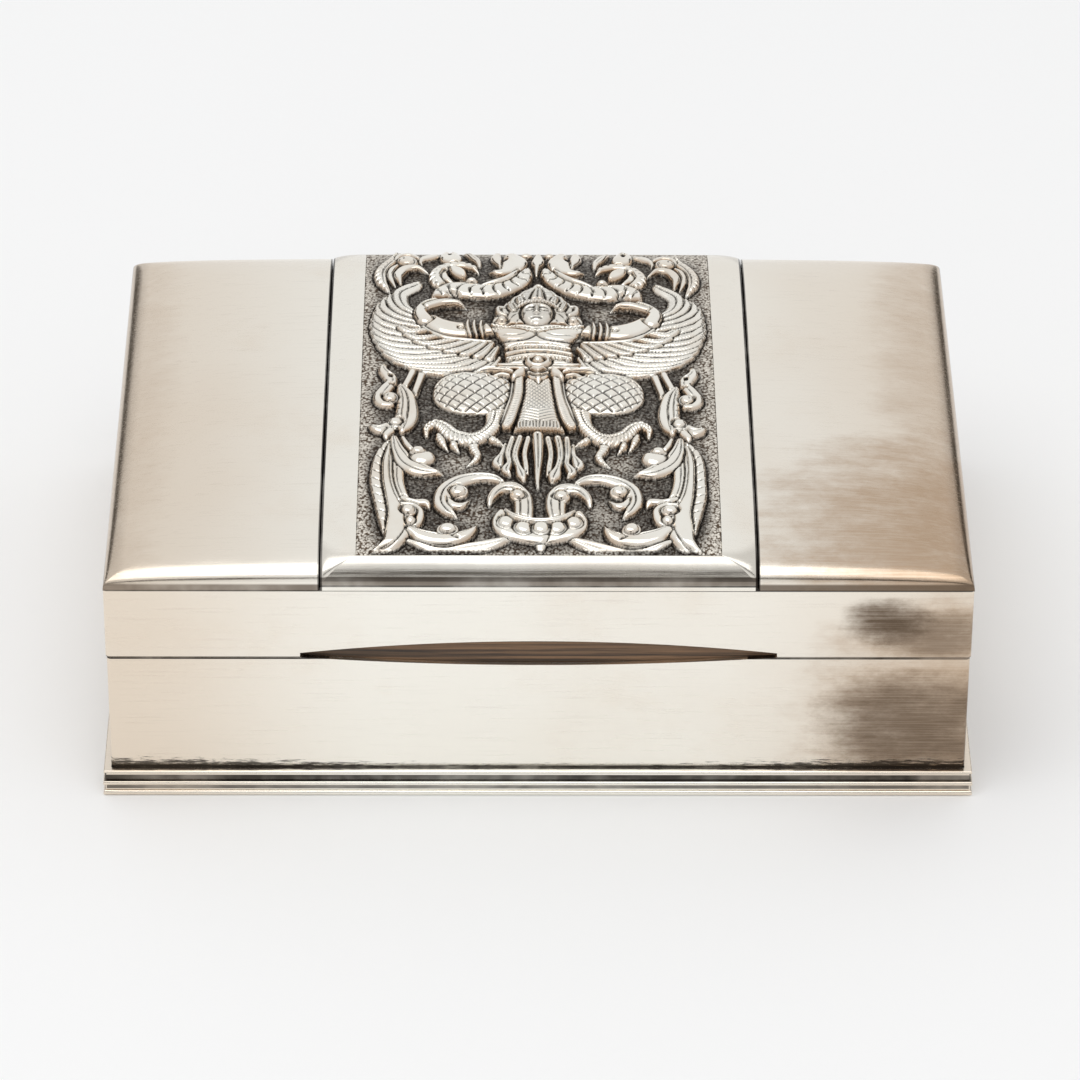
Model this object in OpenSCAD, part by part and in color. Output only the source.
// Hinged silver table box: a sheet silver case on a reeded plinth, lined with
// cedar, under a pillow lid with a raised strap that frames a chased relief plaque.
// X runs along the front, Y from the front to the hinge, Z up from the table.

/* [Case] */
// Width of the lid over its skirt
lid_w = 167; // [130:1:220]
// Depth of the lid over its skirt
lid_d = 117; // [90:1:150]
// Thickness of the silver sheet
sheet = 1.0; // [0.8:0.05:1.4]
// How far the case wall stands inside the lid's face
wall_step = 0.2; // [0:0.05:0.4]
// Height of the case's rim above the table
rim_z = 32; // [26:0.5:50]
// Height of the lid's skirt
skirt_h = 15.55; // [12:0.5:24]
// Radius of the upright corners
corner_r = 0.8; // [0.4:0.1:2]
// Thickness of the base plate
base_t = 1.0; // [0.6:0.1:1.6]

/* [Dome] */
// Rise of the pillow lid above its skirt
crown = 8.5; // [6:0.5:14]
// Squareness of the pillow: 2 is an ellipse, more is flatter with tighter edges
dome_power = 3.2; // [2.4:0.1:4.5]

/* [Strap and plaque] */
// Width of the strap across the lid
strap_w = 84; // [70:1:96]
// Width of the relief plaque
plaque_w = 70; // [50:1:76]
// Distance of the plaque's ends from the lid's front and back
plaque_inset = 3.4; // [2.6:0.1:8]
// How far the strap's inner edge stands above the pillow
strap_rise = 1.1; // [0.6:0.1:2]
// Height of the small upright foot at the strap's ends
strap_foot = 0.75; // [0.4:0.05:1.2]
// Fullness of the strap's bevels: 1 is flat, more is rounder
bevel_power = 1.4; // [1.1:0.1:2]
// Thickness of the plaque's ground
plaque_t = 1.2; // [0.8:0.1:1.8]

/* [Chased relief] */
// Height of the scrolls above the ground
scroll_h = 1.3; // [0.6:0.05:1.8]
// Height of the wings above the ground
wing_h = 0.95; // [0.5:0.05:1.4]
// Height of the figure above the ground
figure_h = 1.7; // [0.8:0.05:2.2]
// Flat share of a scroll's width, the rest is its sloping sides
crest = 0.5; // [0.3:0.05:0.7]
// Number of long feathers in a wing
feathers = 10; // [8:1:14]
// Number of short feathers in a wing
coverts = 6; // [5:1:9]
// Distance between the cuts of the lattice on the thighs
lattice = 2.6; // [2:0.1:3.4]
// Depth to which the raised metal is let into the ground
let_in = 0.5; // [0.3:0.05:0.8]

/* [Thumb notch] */
// Length of the thumb notch
notch_w = 92; // [60:1:110]
// Depth of the notch's arc in the lid's skirt
notch_lid = 2.8; // [1.5:0.1:5]
// Upright ends of the notch in the lid's skirt
notch_end = 1.0; // [0.5:0.1:1.5]
// Depth of the notch's arc in the case's rim
notch_case = 1.8; // [1:0.1:3]

/* [Plinth] */
// Height of the reeded plinth
plinth_h = 5.8; // [4.8:0.2:9]
// How far the plinth's foot stands out from the case wall
plinth_out = 1.6; // [1.2:0.1:3]
// Depth of the plinth's strip at its grooves
groove_floor = 0.95; // [0.5:0.05:1.1]
// Radius of the lowest reed
reed_low = 0.58; // [0.4:0.02:0.7]
// Radius of the middle reed
reed_mid = 0.46; // [0.3:0.02:0.6]
// Radius of the top reed
reed_top = 0.3; // [0.2:0.02:0.4]

/* [Hinge] */
// Length of the hinge
hinge_len = 147; // [100:1:160]
// Number of knuckles, an odd number
knuckles = 7; // [3:2:11]
// Distance of the hinge's axis in from the case's back face
hinge_inset = 0.9; // [0.7:0.05:1.2]
// Outer radius of a knuckle
knuckle_r = 1.3; // [1.2:0.05:1.5]
// Radius of the hinge pin
pin_r = 0.7; // [0.5:0.05:0.9]
// Width of the bearer strips that stiffen the hinge
bearer_w = 2.4; // [2:0.1:3.5]
// Height of the bearer strips
bearer_h = 4; // [2.5:0.25:6]
// Angle at which the lid is open
open_angle = 100; // [90:1:110]

/* [Cedar lining] */
// Thickness of the lining's walls and divider
wood_t = 2.4; // [1.8:0.1:4]
// Thickness of the lining's floor
floor_t = 2; // [1.5:0.1:3]
// How far the lining stands above the rim to locate the lid
wood_lip = 5; // [3:0.25:8]
// Height of the divider above the lining's floor
divider_h = 25; // [12:0.5:34]

/* [Clearances] */
// Gap between the case's rim and the lid's skirt
seam = 0.15; // [0.05:0.05:0.4]
// Gap at each side of the strap
strap_seam = 0.3; // [0.1:0.05:0.6]
// Gap round the plaque in its frame
plaque_gap = 0.05; // [0.02:0.01:0.2]
// Radial gap of the pin in its knuckles
pin_gap = 0.05; // [0.02:0.01:0.1]
// Gap between the knuckles, and round them in the other body
knuckle_gap = 0.2; // [0.1:0.05:0.4]
// Solder film round a knuckle in its own bearer
solder = 0.02; // [0:0.01:0.05]
// Angle left between the bevels behind the hinge when the lid is open
stop_relief = 4; // [2:1:8]
// Gap between the lining and the silver
wood_gap = 0.15; // [0.05:0.05:0.3]

/* [Hidden] */

// Case and lid
case_w = lid_w - 2 * wall_step;
case_d = lid_d - 2 * wall_step;
skirt_z = rim_z + seam;
dome_z = skirt_z + skirt_h;
beyond = 5;

// Hinge axis: in the back wall's thickness, half way up the seam
axis_y = case_d / 2 - hinge_inset;
axis_z = rim_z + seam / 2;
bevel_angle = (open_angle + stop_relief) / 2;
pitch = hinge_len / knuckles;

// Cedar lining
wood_w = case_w - 2 * sheet - 2 * wood_gap;
wood_front = -(case_d / 2 - sheet - wood_gap);
wood_back = case_d / 2 - sheet - bearer_w - wood_gap;
wood_floor_z = base_t + floor_t;
wood_top = rim_z + wood_lip;

// Strap and plaque
strap_x = strap_w / 2 - strap_seam / 2;
panel_x = strap_w / 2 + strap_seam / 2;
plaque_x = plaque_w / 2;
plaque_y = lid_d / 2 - plaque_inset;

// Facet counts
arc_fn = 96;
notch_fn = 1440;
panel_steps = 11;
roll_steps = 9;
end_steps = 6;
bevel_steps = 4;
bend_steps = 2;
boss_fn = 8;

silver = [0.86, 0.84, 0.80];
dark_silver = [0.62, 0.60, 0.57];
cedar = [0.42, 0.25, 0.14];

// ---------- Helpers ----------

module round_rect(w, d, r) {
    square([w - 2 * r, d], center = true);
    square([w, d - 2 * r], center = true);
    for (sx = [-1, 1], sy = [-1, 1])
        translate([sx * (w / 2 - r), sy * (d / 2 - r)])
            circle(r = r, $fn = arc_fn);
}

// A prism that lies along X: the outline is drawn in Y and Z
module along_x(length) {
    rotate([90, 0, 90])
        translate([0, 0, -length / 2])
            linear_extrude(height = length) children();
}

// A flat-ended cylinder that lies along X and is centred on the hinge axis
module on_axis(r, length, x = 0) {
    translate([x - length / 2, axis_y, axis_z])
        rotate([0, 90, 0])
            cylinder(r = r, h = length, $fn = arc_fn);
}

// Everything behind the hinge axis between two angles above the horizontal
module behind_axis(from_angle, to_angle) {
    reach = 4 * knuckle_r;
    along_x(lid_w + 2 * beyond)
        translate([axis_y, axis_z])
            polygon([
                [0, 0],
                reach * [cos(from_angle), sin(from_angle)],
                reach * [1, 0],
                reach * [cos(to_angle), sin(to_angle)]
            ]);
}

// Knuckles number 0, 2, 4 belong to the case, 1, 3, 5 to the lid
function knuckle_x(i) = (i - (knuckles - 1) / 2) * pitch;

module knuckle_set(first) {
    for (i = [first : 2 : knuckles - 1])
        difference() {
            on_axis(knuckle_r, pitch - knuckle_gap, knuckle_x(i));
            on_axis(pin_r + pin_gap, pitch, knuckle_x(i));
        }
}

// The trough that a body's own knuckles lie in, with pockets for the other body's
module knuckle_trough(first_other) {
    on_axis(knuckle_r + solder, hinge_len + 2 * knuckle_gap);
    for (i = [first_other : 2 : knuckles - 1])
        on_axis(knuckle_r + knuckle_gap, pitch + knuckle_gap, knuckle_x(i));
}

// A disc whose chord of notch_w lies at height 0 and whose arc rises above it by depth
module notch_disc(depth) {
    r = (pow(notch_w / 2, 2) + pow(depth, 2)) / (2 * depth);
    translate([0, depth - r])
        circle(r = r, $fn = notch_fn);
}

module through_front() {
    translate([0, -lid_d / 2 + sheet + wood_gap / 2, 0])
        rotate([90, 0, 0])
            linear_extrude(height = sheet + beyond) children();
}

// ---------- Pillow lid ----------

// Height of the pillow's section, 0 to 1, at a distance in from the edge
function swell(inset, half) =
    pow(1 - pow(1 - min(1, max(0, inset / half)), dome_power), 1 / dome_power);

function pillow(x, y, w, d, rise) =
    rise * swell(w / 2 - abs(x), w / 2) * swell(d / 2 - abs(y), d / 2);

function outer_z(x, y) = dome_z + pillow(x, y, lid_w, lid_d, crown);
function inner_z(x, y) =
    dome_z + pillow(x, y, lid_w - 2 * sheet, lid_d - 2 * sheet, crown - sheet);

// Stations as shares of a half width, 0 in the middle and 1 at the edge, closer at the roll
function station(phi) = pow(cos(phi), 2 / dome_power);
function station_angle(share) = acos(pow(share, dome_power / 2));

function half_stations(count, last_angle) =
    [for (i = [count : -1 : 0]) station(last_angle * i / count)];
function full_stations(count) =
    concat([for (i = [0 : count]) -station(90 * i / count)],
           [for (i = [count - 1 : -1 : 0]) station(90 * i / count)]);

// A sheet between two grids of points with the same rows and columns
module skin(top, under) {
    rows = len(top);
    cols = len(top[0]);
    size = rows * cols;
    points = concat([for (row = top) each row], [for (row = under) each row]);
    function at(i, j) = i * cols + j;
    upper = [for (i = [0 : rows - 2], j = [0 : cols - 2])
        each [[at(i, j), at(i, j + 1), at(i + 1, j + 1)],
              [at(i, j), at(i + 1, j + 1), at(i + 1, j)]]];
    lower = [for (f = upper) [f[2] + size, f[1] + size, f[0] + size]];
    border = concat(
        [for (j = [0 : cols - 1]) at(0, j)],
        [for (i = [1 : rows - 1]) at(i, cols - 1)],
        [for (j = [cols - 2 : -1 : 0]) at(rows - 1, j)],
        [for (i = [rows - 2 : -1 : 1]) at(i, 0)]);
    around = len(border);
    rim = [for (k = [0 : around - 1])
        let (a = border[k], b = border[(k + 1) % around])
        each [[b, a, a + size], [b, a + size, b + size]]];
    polyhedron(points = points, faces = concat(upper, lower, rim), convexity = 6);
}

// A closed frame through a loop of sections, each a closed list of points
module loop_of(sections) {
    loops = len(sections);
    count = len(sections[0]);
    points = [for (s = sections) each s];
    function at(i, j) = (i % loops) * count + j % count;
    faces = [for (i = [0 : loops - 1], j = [0 : count - 1])
        each [[at(i, j), at(i, j + 1), at(i + 1, j + 1)],
              [at(i, j), at(i + 1, j + 1), at(i + 1, j)]]];
    polyhedron(points = points, faces = faces, convexity = 6);
}

module lid_panel() {
    outer_half = lid_w / 2;
    inner_half = outer_half - sheet;
    outer_x = outer_half * half_stations(panel_steps, station_angle(panel_x / outer_half));
    inner_x = inner_half * half_stations(panel_steps, station_angle(panel_x / inner_half));
    share_y = full_stations(roll_steps);
    half_y = lid_d / 2;
    skin(
        [for (x = outer_x) [for (s = share_y) [x, s * half_y, outer_z(x, s * half_y)]]],
        [for (x = inner_x) [for (s = share_y)
            let (y = s * (half_y - sheet)) [x, y, inner_z(x, y)]]]
    );
}

// ---------- Strap ----------

// A share of the way round the strap: [unit outward direction, share along that side]
strap_sides = full_stations(roll_steps);
strap_ends = [for (i = [0 : end_steps]) 2 * i / end_steps - 1];
strap_round = concat(
    [for (k = [0 : end_steps - 1]) [[0, -1], strap_ends[k]]],
    [for (k = [0 : 2 * roll_steps - 1]) [[1, 0], strap_sides[k]]],
    [for (k = [end_steps : -1 : 1]) [[0, 1], strap_ends[k]]],
    [for (k = [2 * roll_steps : -1 : 1]) [[-1, 0], strap_sides[k]]]);

function on_ring(place, half_x, half_y) = place[0][0] == 0
    ? [place[1] * half_x, place[0][1] * half_y]
    : [place[0][0] * half_x, place[1] * half_y];

function bevel(u) = 1 - pow(1 - pow(u, bevel_power), 1 / bevel_power);

function plaque_edge_z(p) = outer_z(p[0], p[1]) + strap_rise;

function strap_section(place) =
    let (
        inner = on_ring(place, plaque_x, plaque_y),
        outer = on_ring(place, strap_x, lid_d / 2),
        under = on_ring(place, strap_x, lid_d / 2 - sheet),
        is_end = place[0][0] == 0 || abs(place[1]) > 0.9999,
        edge_z = is_end ? dome_z + strap_foot
                        : max(outer_z(outer[0], outer[1]), dome_z + strap_foot),
        foot_z = is_end ? dome_z : (edge_z + inner_z(under[0], under[1])) / 2,
        top = [for (i = [0 : bevel_steps])
            let (u = i / bevel_steps, p = inner + u * (outer - inner))
            [p[0], p[1], plaque_edge_z(inner) * (1 - bevel(u)) + edge_z * bevel(u)]],
        foot = [[outer[0], outer[1], foot_z]],
        below = [for (i = [bevel_steps : -1 : 0])
            let (u = i / bevel_steps, p = inner + u * (under - inner))
            [p[0], p[1], inner_z(p[0], p[1])]]
    )
    concat(top, foot, below);

// ---------- Chased relief ----------
// The ornament is drawn on a ground of 70 x 110.2 and scaled to the plaque. A point is
// [x, y, half width]; the right half is drawn and mirrored.

draw_x = (plaque_x - plaque_gap) / 35;
draw_y = (plaque_y - plaque_gap) / 55.1;

function ground_z(y) = plaque_edge_z([plaque_x, y]);

module plaque_ground() {
    half_y = plaque_y - plaque_gap;
    top = [for (s = full_stations(roll_steps)) [s * half_y, ground_z(s * half_y)]];
    under = [for (i = [len(top) - 1 : -1 : 0]) top[i] - [0, plaque_t]];
    along_x(2 * (plaque_x - plaque_gap))
        polygon(concat(top, under));
}

module both_sides() {
    children();
    mirror([1, 0, 0]) children();
}

// A smooth curve through points, with some stations for each span
function between(a, b, c, d, t) =
    (2 * b + (c - a) * t + (2 * a - 5 * b + 4 * c - d) * t * t
        + (3 * b - a - 3 * c + d) * t * t * t) / 2;
function curved(p, steps) =
    let (last = len(p) - 1)
    concat(
        [for (i = [0 : last - 1], k = [0 : steps - 1])
            between(i == 0 ? 2 * p[0] - p[1] : p[i - 1], p[i], p[i + 1],
                    i + 2 > last ? 2 * p[last] - p[last - 1] : p[i + 2], k / steps)],
        [p[last]]);

// The place at a share of the way along a list of places
function on_path(p, share) =
    let (at = share * (len(p) - 1), i = min(floor(at), len(p) - 2))
    p[i] + (at - i) * (p[i + 1] - p[i]);

// A raised band that tapers with its half widths, let into the ground
module stroke(points, height, top = crest, steps = bend_steps) {
    line = [for (p = curved(points, steps)) [p[0] * draw_x, p[1] * draw_y, p[2]]];
    last = len(line) - 1;
    widest = max([for (p = points) p[2]]);
    rings = [for (i = [0 : last])
        let (
            p = line[i],
            way = line[min(last, i + 1)] - line[max(0, i - 1)],
            side = [way[1], -way[0]] / norm([way[0], way[1]]) * p[2],
            high = height * min(1, pow(2 * p[2] / widest, 0.6))
        )
        each [for (s = [[-1, -let_in], [-top, high], [top, high], [1, -let_in]])
            [p[0] + s[0] * side[0], p[1] + s[0] * side[1], ground_z(p[1]) + s[1]]]];
    sides = [for (i = [0 : last - 1], j = [0 : 3])
        let (a = 4 * i, k = (j + 1) % 4)
        each [[a + j, a + 4 + k, a + k], [a + j, a + 4 + j, a + 4 + k]]];
    polyhedron(
        points = rings,
        faces = concat(sides, [[0, 1, 2, 3]],
                       [[for (j = [3 : -1 : 0]) 4 * last + j]]),
        convexity = 4);
}

// A domed oval
module boss(x, y, rx, ry, height, top = 0.55, fn = boss_fn) {
    translate([x * draw_x, y * draw_y, ground_z(y * draw_y)])
        hull() {
            translate([0, 0, -let_in])
                scale([rx, ry, 1])
                    cylinder(r = 1, h = let_in + 0.5 * height, $fn = fn);
            scale([rx, ry, 1])
                cylinder(r = top, h = height, $fn = fn);
        }
}

module corner_scrolls() {
    stroke([[30, 35.6, 0.25], [31.4, 40, 1.2], [30.9, 45.5, 1.3], [28.6, 50, 1.2],
            [27.6, 53, 0.5]], scroll_h);
    stroke([[27.8, 38.6, 0.25], [28, 42.4, 0.95], [25.6, 45.3, 0.9], [22.2, 43.5, 0.2]], scroll_h);
    stroke([[28.3, 49.6, 0.4], [25.4, 50.8, 0.7], [23.6, 48.9, 0.3]], scroll_h, steps = 1);
    boss(26, 48.3, 1.8, 1.8, scroll_h + 0.3);
    boss(22, 51.6, 1.4, 0.9, scroll_h);
}

module crest_scrolls() {
    stroke([[1.7, 45.3, 0.3], [2.6, 41.6, 1.7], [6.5, 37, 2.3], [11.8, 35.3, 2.7],
            [17, 35.9, 2.5], [20.5, 31.7, 0.25]], scroll_h + 0.3, 0.6);
    stroke([[3.5, 45.2, 0.3], [5.2, 40.9, 0.65], [9.9, 38.5, 0.3]], scroll_h + 0.45, steps = 1);
    stroke([[18.7, 37.4, 0.9], [20.4, 41, 1.4], [19.4, 45.2, 1.4], [15.8, 47.1, 1.2],
            [11.3, 43.4, 0.2]], scroll_h);
    stroke([[17.4, 45.2, 0.4], [16.2, 43.6, 1.3], [14.5, 40.7, 0.25]], scroll_h + 0.2, steps = 1);
    stroke([[18.7, 44.2, 0.3], [18.7, 41.4, 0.7], [16.5, 39.2, 0.2]], scroll_h - 0.2, steps = 1);
    stroke([[5.4, 53.4, 0.8], [3.8, 48.8, 2.3], [5.2, 44.3, 1.6], [8.8, 42.8, 0.2]], scroll_h + 0.15);
    stroke([[7.9, 53, 0.7], [7.6, 49.8, 1.1], [6.4, 45.8, 0.3]], scroll_h - 0.2, steps = 1);
    stroke([[14.9, 53.6, 0.5], [12.8, 50.2, 0.85], [11.6, 46.6, 0.2]], scroll_h - 0.15, steps = 1);
    boss(17.6, 51, 1.9, 2.8, scroll_h);
}

module side_scrolls() {
    stroke([[27.8, -1, 0.5], [25.4, -4.4, 1.7], [24.6, -10.5, 2], [26.6, -17.2, 0.8]], scroll_h);
    stroke([[28.2, -2.2, 0.3], [26.8, -7, 0.8], [27.3, -12.3, 0.3]], scroll_h - 0.2, steps = 1);
    stroke([[29.8, 7, 0.2], [30.6, 4, 1.1], [29, 1, 1.2], [31.4, -3.7, 1.2],
            [29.4, -7.3, 0.9], [27.9, -5.6, 0.4]], scroll_h);
    stroke([[27.9, -15, 1], [30.4, -16.3, 1.4], [33.1, -15, 0.2]], scroll_h - 0.1, steps = 1);
    boss(29.5, -4.7, 1.4, 1.6, scroll_h + 0.2);
    boss(27.5, -14.3, 1.4, 1.5, scroll_h + 0.2);
    for (x = [22.9, 24.7])
        stroke([[x, 4, 0.75], [x + 1.3, x < 24 ? -3.6 : -0.8, 0.7]], wing_h, 0.7, 1);
}

module foot_scrolls() {
    stroke([[28.9, -20.2, 0.4], [31.8, -31, 1.3], [30, -45, 1.4], [28.9, -52.3, 0.3]],
           scroll_h - 0.15);
    stroke([[28.4, -21, 0.5], [29.7, -33, 0.9], [26.4, -46.5, 1.9], [28, -52.2, 1.2],
            [32.4, -54.1, 0.2]], scroll_h + 0.2);
    stroke([[27.6, -23, 0.5], [27.8, -32, 1], [25.4, -41, 0.4]], scroll_h - 0.1, steps = 1);
    stroke([[27.8, -19.6, 0.6], [26.4, -25.6, 1.3], [22.6, -30.4, 1.6], [17.8, -31.9, 0.2]], scroll_h);
    stroke([[26.2, -39, 0.5], [23.6, -40.8, 0.8], [21.2, -42.3, 0.2]], scroll_h - 0.1, steps = 1);
    stroke([[26.3, -40.6, 0.4], [23, -43, 0.65], [24.2, -47.6, 0.5]], scroll_h - 0.1, steps = 1);
    stroke([[25, -48.4, 0.8], [21.4, -51.2, 1.6], [15.6, -51.4, 1.2], [12.2, -46.7, 0.2]], scroll_h);
    stroke([[25.3, -51.5, 0.3], [18, -54, 0.8], [10, -53.1, 1.2], [5, -50.9, 0.2]], scroll_h - 0.25);
    boss(22.5, -26, 2.1, 2.2, scroll_h + 0.15);
    boss(25.3, -43.1, 1.5, 1.5, scroll_h + 0.4);
    boss(17.4, -49, 1.8, 1.7, scroll_h + 0.25);
}

module centre_scrolls() {
    stroke([[6.2, -35, 0.5], [11, -32.8, 1.2], [17, -34.8, 1.4], [19.2, -39.6, 1.5],
            [16.2, -45.1, 0.2]], scroll_h);
    stroke([[17.3, -38.2, 0.4], [16, -41.2, 0.9], [13, -39.8, 0.25]], scroll_h - 0.2, steps = 1);
    stroke([[9.9, -41.9, 0.2], [8.4, -37.6, 1], [4.6, -36.8, 1.7], [2.5, -40, 1.6],
            [2.3, -44.8, 1.1]], scroll_h + 0.05);
    boss(15.4, -37, 1.6, 1.5, scroll_h + 0.2);
    boss(4.1, -39, 1.4, 1.4, scroll_h + 0.45);
}

module bracket() {
    stroke([[0, -50.6, 1.2], [0.1, -52.8, 0.9], [0, -54.6, 0.2]], scroll_h - 0.3, steps = 1);
    stroke([[-7, -42.8, 0.4], [-6.8, -48, 1.8], [0, -50.2, 1.7], [6.8, -48, 1.8],
            [7, -42.8, 0.4]], scroll_h);
    stroke([[-6.7, -43, 0.3], [-4, -46.2, 0.6], [0, -46.5, 0.6], [4, -46.2, 0.6],
            [6.7, -43, 0.3]], scroll_h + 0.35);
    for (x = [-1 : 1])
        boss(4.4 * x, -48.4 + 0.5 * x * x, 1.9, 1.7, scroll_h + 0.2);
}

// Long feathers under a row of short ones: each has its root, its bend and its tip
module wing() {
    for (i = [0 : feathers - 1])
        let (
            t = i / (feathers - 1),
            tip = on_path([[23.7, 39.2], [30.2, 35.2], [32.9, 27.8], [32.9, 20.4],
                           [30.7, 14], [27, 8], [21, 4.9]], t),
            bend = on_path([[25.9, 35], [30, 30.6], [31.4, 24.4], [30.4, 18.6],
                            [27, 13.4], [21.2, 8.4], [14.5, 5.6]], t),
            root = on_path([[22.9, 28.6], [25, 25.6], [25.2, 22.4], [22.6, 18.6],
                            [18.2, 14.6], [12.4, 12.2], [8.7, 9]], t)
        )
        feather(root, bend, tip, 1.15, wing_h);
    for (i = [0 : coverts - 1])
        let (
            t = i / (coverts - 1),
            tip = on_path([[27.7, 21], [24.4, 15.8], [20, 12.4], [14.6, 9.9], [10.4, 9.6]], t),
            root = on_path([[20, 21.6], [17.4, 17], [13, 15.6], [10.4, 15.2], [8.9, 13.4]], t)
        )
        feather(root, (tip + root) / 2 + [0.5, -0.9], tip, 0.95, wing_h + 0.3, 1);
    stroke([[24.8, 24.6, 0.3], [19, 17.3, 0.5], [9.4, 15.6, 0.3]], wing_h + 0.45, steps = 1);
}

module feather(root, bend, tip, w, height, steps = bend_steps) {
    stroke([[root[0], root[1], 0.55 * w], [bend[0], bend[1], w], [tip[0], tip[1], 0.2]],
           height, 0.25, steps);
}

module arm() {
    stroke([[8.5, 20.2, 1.7], [13, 20.2, 2.2], [18.6, 21.2, 2.4], [22.2, 24, 1.9],
            [23, 27, 1.4], [20.2, 30.6, 0.5]], figure_h + 0.1, 0.6);
    stroke([[21.9, 28, 1], [18.4, 29.8, 0.9], [14.9, 29, 0.2]], figure_h, steps = 1);
    for (x = [11.1, 12.3, 13.5])
        stroke([[x, 22.6, 0.4], [x, 17.7, 0.4]], figure_h + 0.35, steps = 1);
}

module leg() {
    thigh(12.6, -2.9, 7.7, 7.4);
    stroke([[5, 3.6, 0.5], [8, 4.4, 0.7], [12.8, 3.9, 0.25]], figure_h + 0.4, steps = 1);
    stroke([[6.9, -8.6, 1.9], [7.9, -13, 1.5], [10.4, -18, 1.7], [14.2, -19.8, 1.9],
            [17.6, -17, 1.5], [19.9, -14.9, 1.1], [21.3, -18.4, 0.25]], figure_h, 0.55);
    stroke([[10.4, -18.4, 0.9], [8.8, -20.3, 0.8], [6.7, -21.6, 0.2]], scroll_h, steps = 1);
    stroke([[12.9, -20, 1.2], [11.9, -24.6, 0.9], [13.6, -28.2, 0.2]], scroll_h);
    stroke([[17.6, -17, 1], [18.8, -19, 0.9], [17.6, -22.8, 0.2]], scroll_h);
}

// A bulging thigh under a lattice of pillowed lozenges
module thigh(x, y, rx, ry) {
    rows = ceil((rx + ry) / lattice);
    boss(x, y, rx, ry, figure_h - 0.55, 0.88, 14);
    for (i = [-rows : rows], j = [-rows : rows])
        let (
            u = (i + j) * lattice / sqrt(2),
            v = (i - j) * lattice / sqrt(2),
            far = norm([u / rx, v / ry])
        )
        if (far < 0.88)
            lozenge(x + u, y + v, figure_h + 0.35 - 0.7 * pow(far, 3));
}

module lozenge(x, y, height) {
    half = lattice / sqrt(2) - 0.2;
    translate([x * draw_x, y * draw_y, ground_z(y * draw_y)])
        hull() {
            cylinder(r = half, h = height - 0.5, $fn = 4);
            cylinder(r = 0.5 * half, h = height, $fn = 4);
        }
}

module plumes() {
    stroke([[2, -19.4, 0.6], [2.6, -26, 0.6], [2.4, -33.9, 0.2]], scroll_h - 0.1, steps = 1);
    stroke([[3.6, -19.4, 0.7], [4.5, -26, 0.7], [3.1, -31.4, 1], [2.7, -33.4, 0.25]], scroll_h, steps = 1);
    stroke([[5.2, -19.6, 0.6], [5.8, -26, 0.65], [6.2, -30.2, 0.95], [5.4, -32, 0.2]],
           scroll_h - 0.1, steps = 1);
    stroke([[6.5, -21.5, 0.4], [7.3, -26, 0.7], [7.6, -28.4, 1.1], [7.1, -29.9, 0.2]],
           scroll_h - 0.3, steps = 1);
}

module body() {
    // Torso, with its breastplates, belts and girdle
    stroke([[0, 5.2, 7.3], [0, 10, 6.4], [0, 14, 5.8], [0, 18, 7.6], [0, 21.9, 10]],
           figure_h - 0.2, 0.9, 1);
    both_sides() {
        stroke([[0.3, 18.6, 2.8], [4.2, 18.7, 3.2], [7.8, 19.7, 2]], figure_h + 0.1, 0.75, 1);
        stroke([[3.6, 2.2, 0.9], [4.3, -7, 1.1], [6.2, -15.4, 1]], figure_h, 0.7, 1);
        stroke([[1, 4.7, 0.8], [3.4, 3.6, 1.2], [4.9, 0.9, 0.25]], figure_h + 0.35, steps = 1);
        for (y = [5.6, 6.8])
            stroke([[2.2, y, 0.45], [7.6, y, 0.45]], figure_h + 0.2, 0.7, 1);
    }
    for (y = [11.4, 14.4])
        stroke([[-6, y - 1.3, 0.45], [0, y, 0.45], [6, y - 1.3, 0.45]], figure_h + 0.15);
    for (x = [-2 : 2])
        boss(2.1 * x, 12.9 - 0.12 * x * x, 0.7, 0.7, figure_h + 0.2);
    // Loincloth and the tail's blade
    stroke([[0, 2, 2.4], [0, -6, 2.8], [0, -17.2, 4.4]], figure_h, 0.85, 1);
    for (y = [-10.8, -13])
        stroke([[-2.8, y, 0.35], [0, y - 1.3, 0.35], [2.8, y, 0.35]], figure_h + 0.2, steps = 1);
    stroke([[0, -17.6, 1.2], [0, -26, 1], [0, -36, 0.2]], figure_h - 0.1, 0.2, 1);
    // Medallion with its pendant
    stroke([[0, 5.2, 2.3], [0, 2.8, 2.2], [0, -0.9, 0.25]], figure_h + 0.45, steps = 1);
    boss(0, 7.7, 2.7, 2.6, figure_h + 0.5);
    boss(0, 7.7, 1.3, 1.3, figure_h + 0.95);
}

module headdress() {
    stroke([[0, 22.3, 8.8], [0, 27, 8.8], [0, 31, 7.1], [0, 35, 3.8], [0, 37.7, 0.3]],
           figure_h - 0.5, 0.92, 1);
    stroke([[0, 22.6, 6], [0, 28, 5.6], [0, 32, 3.6], [0, 35.4, 0.3]], figure_h - 0.1, 0.88, 1);
    stroke([[0, 30.2, 1.6], [0, 36.4, 0.25]], figure_h + 0.3, 0.2, 1);
    stroke([[-4.3, 28.3, 0.4], [0, 30.1, 0.7], [4.3, 28.3, 0.4]], figure_h + 0.5);
    both_sides() {
        stroke([[2.9, 29.6, 1], [3.7, 33.4, 0.2]], figure_h + 0.1, 0.2, 1);
        boss(7.2, 23.9, 1.2, 1.2, figure_h + 0.2);
        boss(7.4, 27.9, 1, 1.4, figure_h);
    }
    // A plain face
    boss(0, 25.8, 3.1, 3.6, figure_h + 0.6);
    stroke([[0, 27.8, 0.25], [0, 25.4, 0.4]], figure_h + 0.95, steps = 1);
    both_sides()
        stroke([[0.5, 27.4, 0.25], [2.2, 27.4, 0.25]], figure_h + 0.8, steps = 1);
    stroke([[-0.9, 24.3, 0.25], [0.9, 24.3, 0.25]], figure_h + 0.8, steps = 1);
}

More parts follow.
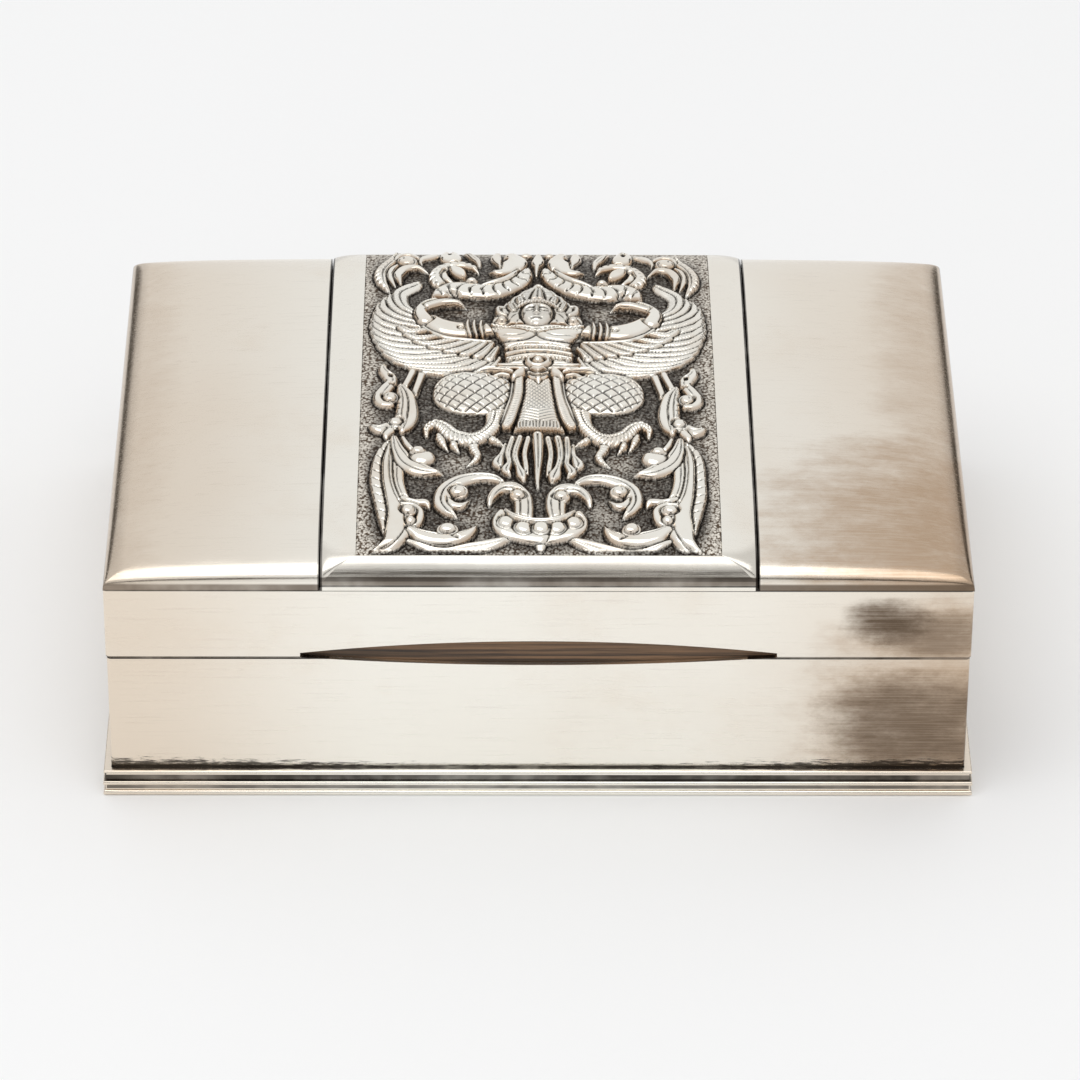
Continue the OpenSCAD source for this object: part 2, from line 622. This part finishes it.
// ---------- Plinth ----------

module plinth_outline() {
    square([groove_floor, plinth_h - reed_top]);
    translate([plinth_out - reed_low, reed_low])
        circle(r = reed_low, $fn = arc_fn);
    square([plinth_out - reed_low, reed_low * 2]);
    translate([plinth_out - reed_mid, plinth_h / 2])
        circle(r = reed_mid, $fn = arc_fn);
    translate([plinth_out - reed_top - 0.15, plinth_h - reed_top])
        circle(r = reed_top, $fn = arc_fn);
    square([plinth_out - reed_top - 0.15, plinth_h]);
}

// A strip on a wall of a given length whose face lies at -away, mitred at both ends
module plinth_strip(length, away) {
    intersection() {
        translate([0, -away, 0])
            along_x(length + 2 * plinth_out)
                mirror([1, 0])
                    plinth_outline();
        linear_extrude(height = plinth_h)
            polygon([
                [-length / 2, -away],
                [-length / 2 - plinth_out, -away - plinth_out],
                [length / 2 + plinth_out, -away - plinth_out],
                [length / 2, -away]
            ]);
    }
}

// ---------- Case ----------

module body_walls() {
    color(silver)
        difference() {
            linear_extrude(height = rim_z)
                difference() {
                    round_rect(case_w, case_d, corner_r);
                    square([case_w - 2 * sheet, case_d - 2 * sheet], center = true);
                }
            through_front()
                translate([0, rim_z])
                    mirror([0, 1])
                        notch_disc(notch_case);
            behind_axis(-bevel_angle, bevel_angle);
            knuckle_trough(1);
        }
}

module base_plate() {
    color(silver)
        linear_extrude(height = base_t)
            square([case_w - 2 * sheet, case_d - 2 * sheet], center = true);
}

module plinth_front() {
    color(silver) plinth_strip(case_w, case_d / 2);
}

module plinth_back() {
    color(silver) rotate([0, 0, 180]) plinth_strip(case_w, case_d / 2);
}

module plinth_left() {
    color(silver) rotate([0, 0, -90]) plinth_strip(case_d, case_w / 2);
}

module plinth_right() {
    color(silver) rotate([0, 0, 90]) plinth_strip(case_d, case_w / 2);
}

module case_hinge_bearer() {
    color(silver)
        difference() {
            translate([-hinge_len / 2, case_d / 2 - sheet - bearer_w, rim_z - bearer_h])
                cube([hinge_len, bearer_w, bearer_h]);
            knuckle_trough(1);
        }
}

module case_knuckles() {
    color(silver) knuckle_set(0);
}

module hinge_pin() {
    color(silver) on_axis(pin_r, hinge_len - knuckle_gap);
}

// ---------- Cedar lining ----------

module liner_floor() {
    color(cedar)
        translate([-wood_w / 2, wood_front, base_t])
            cube([wood_w, case_d - 2 * sheet - 2 * wood_gap, floor_t]);
}

module liner_long(y) {
    color(cedar)
        translate([-wood_w / 2, y, wood_floor_z])
            cube([wood_w, wood_t, wood_top - wood_floor_z]);
}

module liner_front() {
    liner_long(wood_front);
}

module liner_back() {
    liner_long(wood_back - wood_t);
}

module liner_cross(x, height) {
    color(cedar)
        translate([x, wood_front + wood_t, wood_floor_z])
            cube([wood_t, wood_back - wood_front - 2 * wood_t, height]);
}

module liner_left() {
    liner_cross(-wood_w / 2, wood_top - wood_floor_z);
}

module liner_right() {
    liner_cross(wood_w / 2 - wood_t, wood_top - wood_floor_z);
}

module divider() {
    liner_cross(-wood_t / 2, divider_h);
}

// ---------- Lid ----------

module lid_skirt() {
    color(silver)
        difference() {
            translate([0, 0, skirt_z])
                linear_extrude(height = skirt_h)
                    difference() {
                        round_rect(lid_w, lid_d, corner_r);
                        square([lid_w - 2 * sheet, lid_d - 2 * sheet], center = true);
                    }
            through_front()
                translate([0, skirt_z + notch_end])
                    intersection() {
                        notch_disc(notch_lid);
                        translate([-notch_w / 2, -2 * notch_end])
                            square([notch_w, 2 * notch_end + 2 * notch_lid]);
                    }
            behind_axis(-bevel_angle, bevel_angle);
            knuckle_trough(0);
        }
}

module lid_panel_right() {
    color(silver) lid_panel();
}

module lid_panel_left() {
    color(silver) mirror([1, 0, 0]) lid_panel();
}

module strap_frame() {
    color(silver) loop_of([for (place = strap_round) strap_section(place)]);
}

module relief_plaque() {
    color(dark_silver)
        union() {
            plaque_ground();
            both_sides() {
                corner_scrolls();
                crest_scrolls();
                side_scrolls();
                foot_scrolls();
                centre_scrolls();
                wing();
                arm();
                leg();
                plumes();
            }
            bracket();
            body();
            headdress();
        }
}

module lid_hinge_bearer() {
    color(silver)
        difference() {
            translate([-hinge_len / 2, lid_d / 2 - sheet - bearer_w, skirt_z])
                cube([hinge_len, bearer_w, bearer_h]);
            knuckle_trough(0);
        }
}

module lid_knuckles() {
    color(silver) knuckle_set(1);
}

body_walls();
base_plate();
plinth_front();
plinth_back();
plinth_left();
plinth_right();
case_hinge_bearer();
case_knuckles();
hinge_pin();
liner_floor();
liner_front();
liner_back();
liner_left();
liner_right();
divider();
lid_skirt();
lid_panel_left();
lid_panel_right();
strap_frame();
relief_plaque();
lid_hinge_bearer();
lid_knuckles();
